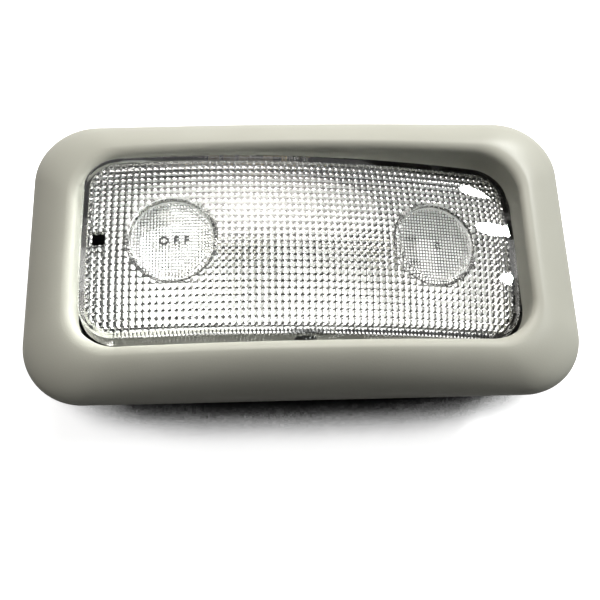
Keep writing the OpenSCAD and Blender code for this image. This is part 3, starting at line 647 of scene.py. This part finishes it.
def add_inner_side(solid):
    """The skirt's ribbed inner wall and the prisms under the crown. Returns the rims of the prisms and the
    lower one of the wall."""
    crests, valleys = lens_loop(LENS_WALL - RIB_DEPTH), lens_loop(LENS_WALL)
    wall = [(crest, valley)[i % 2] for i, (crest, valley) in enumerate(zip(crests, valleys))]
    bosses = [plan(crown_circle(s, BOSS_R, LENS_WALL)) for s in SIDES]
    ellipses = []
    for boss in bosses:
        low, high = min(x for x, y in boss), max(x for x, y in boss)
        ellipses.append(((low + high) / 2, (high - low) / 2))
    inner_l, inner_w, inner_r = LENS_L - 2 * LENS_WALL, LENS_W - 2 * LENS_WALL, LENS_R - LENS_WALL

    def inside(x, y, margin):
        """Whether a point lies in the plan by a margin, or near it where the margin is negative."""
        if not in_plan(x, y, inner_l - 2 * margin, inner_w - 2 * margin, inner_r - margin):
            return False
        for middle, half in ellipses:
            if ((x - middle) / (half + margin)) ** 2 + (y / (BOSS_R + margin)) ** 2 < 1:
                return False
        slot = (SLOT_L + 2 * margin, SLOT_W + 2 * margin, SLOT_ROUND + margin)
        return margin < 0 or not in_plan(x - SLOT_X0 - SLOT_L / 2, y, *slot)

    def place(x, y):
        """Relief that is centred on the solid's smooth inner face."""
        centre = PRISM_SAG * 4 / 3
        return x, y, crown(x, y, LENS_WALL) + centre - pillow(x, y, PRISM_PITCH, PRISM_SAG)

    reach = (LENS_L / 2, LENS_W / 2)
    rims = add_prisms(solid, [wall, *bosses, slot_loop()], inside, reach, PRISM_PITCH, 4, place)
    ids, points = rims[0]
    low = solid.add([(x, y, LENS_LOW) for x, y in points])
    solid.strip(ids, low)
    return rims, (low, points)


def add_boss(solid, s, rim):
    """The underside of a dimple: a round boss with a bevel, and prisms of half the pitch on its face."""
    face_z, face_radius = -DIMPLE_DEPTH - LENS_WALL + FINE_LIFT, BOSS_R - BOSS_BEVEL
    belt = circle(BOSS_R, DIMPLE_ANGLES)
    belt_rim = (solid.add([from_dimple(s, x, y, face_z + BOSS_BEVEL) for x, y in belt]), belt)

    def inside(x, y, margin):
        return math.hypot(x, y) < face_radius - margin

    def place(x, y):
        return from_dimple(s, x, y, face_z - pillow(x, y, FINE_PITCH, FINE_SAG))

    disc = circle(face_radius, DIMPLE_ANGLES)
    face_rim, = add_prisms(solid, [disc], inside, (BOSS_R, BOSS_R), FINE_PITCH, 3, place)
    solid.zip_rims(rim, belt_rim)
    solid.zip_rims(belt_rim, face_rim)


def cam_outline():
    """The cam tab with its three notches, one for each position of the switch, from the pivot."""
    out = [(-CAM_HALF, 0), (CAM_HALF, 0)]
    end = math.asin(CAM_HALF / CAM_R)
    for t in np.linspace(end, -end, 60):
        offs = [abs(t - math.radians(k * ROCK_ANGLE)) * CAM_R for k in (-1, 0, 1)]
        r = CAM_R - max(0.0, CAM_NOTCH - min(offs))
        out.append((r * math.sin(t), -r * math.cos(t)))
    return out


def finger_outline():
    """The tab that works the switch, from the pivot."""
    narrow, end = TAB_HALF - TAB_BREAK, -CAM_R
    return [(-TAB_HALF, 0), (TAB_HALF, 0), (TAB_HALF, end + TAB_BREAK), (narrow, end), (-narrow, end),
            (-TAB_HALF, end + TAB_BREAK)]


def add_working_parts(solid):
    """The cam, the finger of the switch and the pivot pins."""
    outer, inner = LENS_W / 2 - TAB_SINK, LENS_W / 2 - TAB_T
    for s, outline in ((-1, cam_outline()), (1, finger_outline())):
        solid.loft(*[[(x, s * y, PIVOT_Z + z) for x, z in outline] for y in (outer, inner)])
    reach = TUB_W / 2 - PIN_END_GAP
    stations = ((LENS_W / 2 - PIN_SINK, PIVOT_R), (reach - PIN_BREAK, PIVOT_R), (reach, PIVOT_R - PIN_BREAK))
    turns = [2 * math.pi * i / 40 for i in range(40)]
    for s in SIDES:
        solid.loft(*[[(x, s * y, PIVOT_Z + z) for x, z in circle(r, turns)] for y, r in stations])


def make_lens():
    solid = Solid()
    top_rims, outer_low = add_outer_skin(solid)
    for k, s in enumerate(SIDES):
        add_dimple(solid, s, top_rims[1 + k])
    inner_rims, inner_low = add_inner_side(solid)
    solid.zip_rims(outer_low, inner_low)
    solid.zip_rims(top_rims[3], inner_rims[3])
    for k, s in enumerate(SIDES):
        add_boss(solid, s, inner_rims[1 + k])
    add_working_parts(solid)
    solid.verts = [rock(v) for v in solid.verts]
    obj = make_object("lens_prismatic", solid, lens_mat, LENS_SHARP)
    ride(obj, "lens")
    return obj


lens = make_lens()
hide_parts("lens_rocker")

# Clear pieces let the lamps through, where a path tracer gives them a full shadow
for clear_piece in (lens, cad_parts["bulb_glass"]):
    clear_piece.visible_shadow = False


# Letters and sign in the dimples

def seat_in_dimple(name, data, s, dx, dy, lift):
    """Bakes a flat shape, drawn in millimetres, onto a dimple's floor."""
    flat = bpy.data.objects.new("flat", data)
    scene.collection.objects.link(flat)
    graph = bpy.context.evaluated_depsgraph_get()
    mesh = bpy.data.meshes.new_from_object(flat.evaluated_get(graph))
    for v in mesh.vertices:
        v.co = Vector(rock(from_dimple(s, v.co.x + dx, v.co.y + dy, -DIMPLE_DEPTH + lift + v.co.z))) * MM
    mesh.name = name
    mesh.materials.clear()
    mesh.materials.append(print_mat)
    out = bpy.data.objects.new(name, mesh)
    scene.collection.objects.link(out)
    bpy.data.objects.remove(flat)
    ride(out, "lens")


def letters_off():
    letters = bpy.data.curves.new("letters", "FONT")
    letters.body = "OFF"
    letters.align_x = "CENTER"
    letters.align_y = "CENTER"
    letters.size = 2.9
    letters.space_character = 1.75
    letters.extrude = 0.12
    letters.bevel_depth = 0.03
    letters.offset = 0.05
    return letters


def lit_lamp_sign():
    """A ring with eight rays."""
    height, outer, inner, ray_start, ray_end, ray_half = 0.22, 0.62, 0.42, 0.78, 1.15, 0.08
    turns = [2 * math.pi * i / 24 for i in range(24)]
    solid = Solid()
    loops = [solid.add([(x, y, z) for x, y in circle(r, turns)])
             for r, z in ((outer, 0.0), (outer, height), (inner, height), (inner, 0.0))]
    for a, b in zip(loops, loops[1:] + loops[:1]):
        solid.strip(a, b)
    ray = ((ray_start, -ray_half), (ray_end, -ray_half), (ray_end, ray_half), (ray_start, ray_half))
    for q in range(8):
        c, s = math.cos(2 * math.pi * q / 8), math.sin(2 * math.pi * q / 8)
        solid.loft(*[[(r * c - w * s, r * s + w * c, z) for r, w in ray] for z in (0.0, height)])
    mesh = bpy.data.meshes.new("sign")
    mesh.from_pydata(solid.verts, [], solid.faces)
    return mesh


seat_in_dimple("letters_off", letters_off(), -1, dx=0.5, dy=-0.6, lift=0.12)
seat_in_dimple("sign_on", lit_lamp_sign(), 1, dx=0.6, dy=-0.4, lift=0.0)


# Floor and backdrop

def math_node(tree, operation, first, second):
    """A Math node. Each input is a socket or a number."""
    node = tree.nodes.new("ShaderNodeMath")
    node.operation = operation
    for socket, value in zip(node.inputs, (first, second)):
        if isinstance(value, (int, float)):
            socket.default_value = value
        else:
            tree.links.new(value, socket)
    return node.outputs[0]


def background_rays(tree):
    """1 for the rays that show the background: camera, glossy and transmission rays before any diffuse
    bounce, but not those of light that bounces on inside the glass."""
    path = tree.nodes.new("ShaderNodeLightPath").outputs
    seen = math_node(tree, "MAXIMUM", path["Is Camera Ray"], path["Is Glossy Ray"])
    seen = math_node(tree, "MAXIMUM", seen, path["Is Transmission Ray"])
    inside = math_node(tree, "MINIMUM", path["Glossy Depth"], path["Transmission Depth"])
    for depth, most in ((path["Diffuse Depth"], 0.5), (path["Glossy Depth"], 1.5), (inside, 0.5)):
        seen = math_node(tree, "MULTIPLY", seen, math_node(tree, "LESS_THAN", depth, most))
    return seen


def floor_paper_painted_shadow():
    """Paper that is white of itself for the camera and dark for the rays that light the lamp. Where the lamp
    stands close over it, a painted contact shadow from ambient occlusion darkens its colour and its glow."""
    mat, tree, shader = new_material("floor_paper_painted_shadow")
    shader.inputs["Roughness"].default_value = 0.9
    shader.inputs["Specular IOR Level"].default_value = 0.0
    shader.inputs["Emission Color"].default_value = (1, 1, 1, 1)
    # Painted shadow: ambient occlusion within 5 cm gives a dark contact shadow under and beside the lamp
    occlusion_for_painted_shadow = tree.nodes.new("ShaderNodeAmbientOcclusion")
    occlusion_for_painted_shadow.samples = 16
    occlusion_for_painted_shadow.inputs["Distance"].default_value = 0.05
    painted_shadow_ramp = tree.nodes.new("ShaderNodeMapRange")
    painted_shadow_ramp.interpolation_type = "SMOOTHSTEP"
    painted_shadow_ramp.inputs["From Min"].default_value = 0.48
    painted_shadow_ramp.inputs["From Max"].default_value = 0.66
    tree.links.new(occlusion_for_painted_shadow.outputs["AO"], painted_shadow_ramp.inputs["Value"])
    outside_painted_shadow = painted_shadow_ramp.outputs["Result"]
    paper_and_painted_shadow = tree.nodes.new("ShaderNodeMix")
    paper_and_painted_shadow.data_type = "RGBA"
    # A is the dark of the painted contact shadow, and the floor's colour for the rays that light the lamp
    paper_and_painted_shadow.inputs["A"].default_value = (0.05, 0.05, 0.05, 1)
    paper_and_painted_shadow.inputs["B"].default_value = (0.96, 0.96, 0.96, 1)
    tree.links.new(math_node(tree, "MULTIPLY", background_rays(tree), outside_painted_shadow), paper_and_painted_shadow.inputs["Factor"])
    tree.links.new(paper_and_painted_shadow.outputs["Result"], shader.inputs["Base Color"])
    camera_ray = tree.nodes.new("ShaderNodeLightPath").outputs["Is Camera Ray"]
    # The floor's glow is cut out where the contact shadow is painted
    glow = math_node(tree, "MULTIPLY", math_node(tree, "MULTIPLY", camera_ray, outside_painted_shadow), 0.9)
    tree.links.new(glow, shader.inputs["Emission Strength"])
    return mat


def make_world():
    """White for the rays that show the background, and nearly dark for those that light the lamp."""
    world = bpy.data.worlds.new("studio")
    scene.world = world
    world.use_nodes = True
    tree = world.node_tree
    backdrop = tree.nodes["Background"]
    backdrop.inputs["Color"].default_value = (1, 1, 1, 1)
    level = tree.nodes.new("ShaderNodeMix")
    level.data_type = "FLOAT"
    level.inputs["A"].default_value = 0.012
    level.inputs["B"].default_value = 1.0
    tree.links.new(background_rays(tree), level.inputs["Factor"])
    tree.links.new(level.outputs["Result"], backdrop.inputs["Strength"])


FLOOR_HALF = 3  # metres
floor_corners = [(x * FLOOR_HALF, y * FLOOR_HALF, 0) for x, y in ((-1, -1), (1, -1), (1, 1), (-1, 1))]
floor_mesh = bpy.data.meshes.new("floor")
floor_mesh.from_pydata(floor_corners, [], [(0, 1, 2, 3)])
floor_mesh.materials.append(floor_paper_painted_shadow())
floor = bpy.data.objects.new("floor", floor_mesh)
scene.collection.objects.link(floor)
make_world()


# Lamps

LIGHT_TARGET = (0, 0, 0.03)  # metres


def add_light(light, location, direction):
    """Places a light so that it shines from a direction."""
    obj = bpy.data.objects.new(light.name, light)
    obj.location = location
    obj.rotation_euler = direction.to_track_quat("Z", "Y").to_euler()
    scene.collection.objects.link(obj)


def sun(name, direction, level, angle, colour):
    """A far lamp. A level of 1 shows a matt surface that faces it in its own colour."""
    light = bpy.data.lights.new(name, "SUN")
    light.energy = level * math.pi
    light.angle = math.radians(angle)
    light.color = colour
    add_light(light, (0, 0, 0), Vector(direction))


def softbox(name, direction, distance, width, height, radiance, colour):
    """An oval lit panel that faces the lamp. Its distance, width and height are in metres."""
    light = bpy.data.lights.new(name, "AREA")
    light.shape = "ELLIPSE"
    light.color = colour
    light.size, light.size_y = width, height
    light.energy = radiance * math.pi * (math.pi / 4 * width * height)
    towards = Vector(direction).normalized()
    add_light(light, Vector(LIGHT_TARGET) + towards * distance, towards)


WINDOW, FILL, SOFTBOX = (0.985, 1.0, 0.985), (1.0, 0.955, 0.90), (1.0, 0.96, 0.91)

# Three small windows to the right and behind, weak fills, and a softbox that fades out towards its edge
sun("window_far", (0.584, 0.724, 0.365), 0.36, 6.0, WINDOW)
sun("window_middle", (0.666, 0.490, 0.560), 0.36, 6.0, WINDOW)
sun("window_near", (0.753, 0.143, 0.644), 0.14, 6.0, WINDOW)
sun("fill_behind", (0.0, 1.0, 0.3), 0.10, 30.0, FILL)
sun("fill_left", (-0.7, 0.1, 0.6), 0.09, 30.0, FILL)
for k, share in enumerate((1.0, 0.75, 0.5, 0.25)):
    softbox("softbox_%d" % k, (0.06, 0.62, 0.78), 1.0 + 0.01 * k, 0.75 * share, 0.7 * share, 3.0, SOFTBOX)


# Camera

# As fitted to the photo, in millimetres, degrees and pixels
CAMERA_PLACE = (-11.82, -83.76, 203.77 + RIM_Z)
CAMERA_YAW, CAMERA_TILT, CAMERA_ROLL = -8.63, 19.71, 7.07
FOCAL_PX, IMAGE_PX = 870.5, 600.0


def turn(angle, axis):
    return Matrix.Rotation(math.radians(angle), 4, axis)


camera_data = bpy.data.cameras.new("camera")
camera_data.sensor_fit = "HORIZONTAL"
camera_data.sensor_width = 36.0
camera_data.lens = camera_data.sensor_width * FOCAL_PX / IMAGE_PX
camera_data.clip_start = 0.01
camera = bpy.data.objects.new("camera", camera_data)
camera_turn = turn(CAMERA_YAW, "Z") @ turn(CAMERA_TILT, "X") @ turn(CAMERA_ROLL, "Z")
camera.matrix_world = Matrix.Translation(Vector(CAMERA_PLACE) * MM) @ camera_turn
scene.collection.objects.link(camera)
scene.camera = camera
scene.view_settings.view_transform = "Standard"
